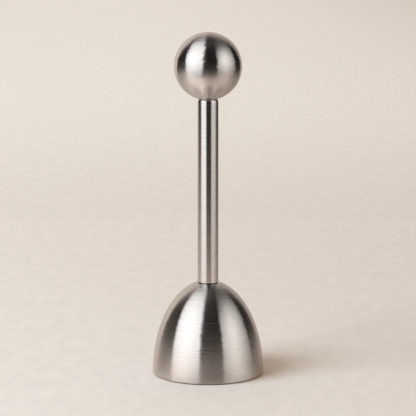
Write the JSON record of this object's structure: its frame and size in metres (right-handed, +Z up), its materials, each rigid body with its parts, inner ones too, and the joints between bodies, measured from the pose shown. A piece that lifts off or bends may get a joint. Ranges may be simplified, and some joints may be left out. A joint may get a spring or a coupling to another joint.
{
  "type": "egg topper",
  "caption": "Bell-shaped cup on a slim tube handle with a ball knob that lifts a sprung striker, to crack an egg's shell in a clean ring.",
  "frame": {"origin": "centre of the bell's rim, on the surface that the rim stands on", "axes": "+Z up along the tool's axis, from the rim to the ball. Everything but the cross recess, the washer's split and the spring is round about Z."},
  "size_m": [0.0374, 0.0374, 0.1152],
  "materials": {
    "bell_steel": "satin, brushed round the axis",
    "tube_steel": "fine satin",
    "ball_steel": "satin, brushed round the axis",
    "rod_steel": "ground",
    "turned_steel": "turned",
    "spring_wire": "drawn wire",
    "fastener_steel": "bright zinc-free stainless"
  },
  "bodies": {
    "handle": {"bell": "bell_steel", "handle_tube": "tube_steel", "guide_bush": "turned_steel", "return_spring": "spring_wire", "anvil_plug": "turned_steel", "crown_screw": "fastener_steel", "lock_washer": "fastener_steel", "flat_washer": "fastener_steel"},
    "plunger": {"ball_knob": "ball_steel", "pull_rod": "rod_steel", "striker": "turned_steel"}
  },
  "joints": [
    {"name": "ball_pull", "type": "slide", "parent": "handle", "child": "plunger", "axis": [0, 0, 1], "range_m": [0, 0.014], "stiffness_N_per_m": 1000, "springref_m": -0.004, "deforming": ["return_spring"]}
  ]
}
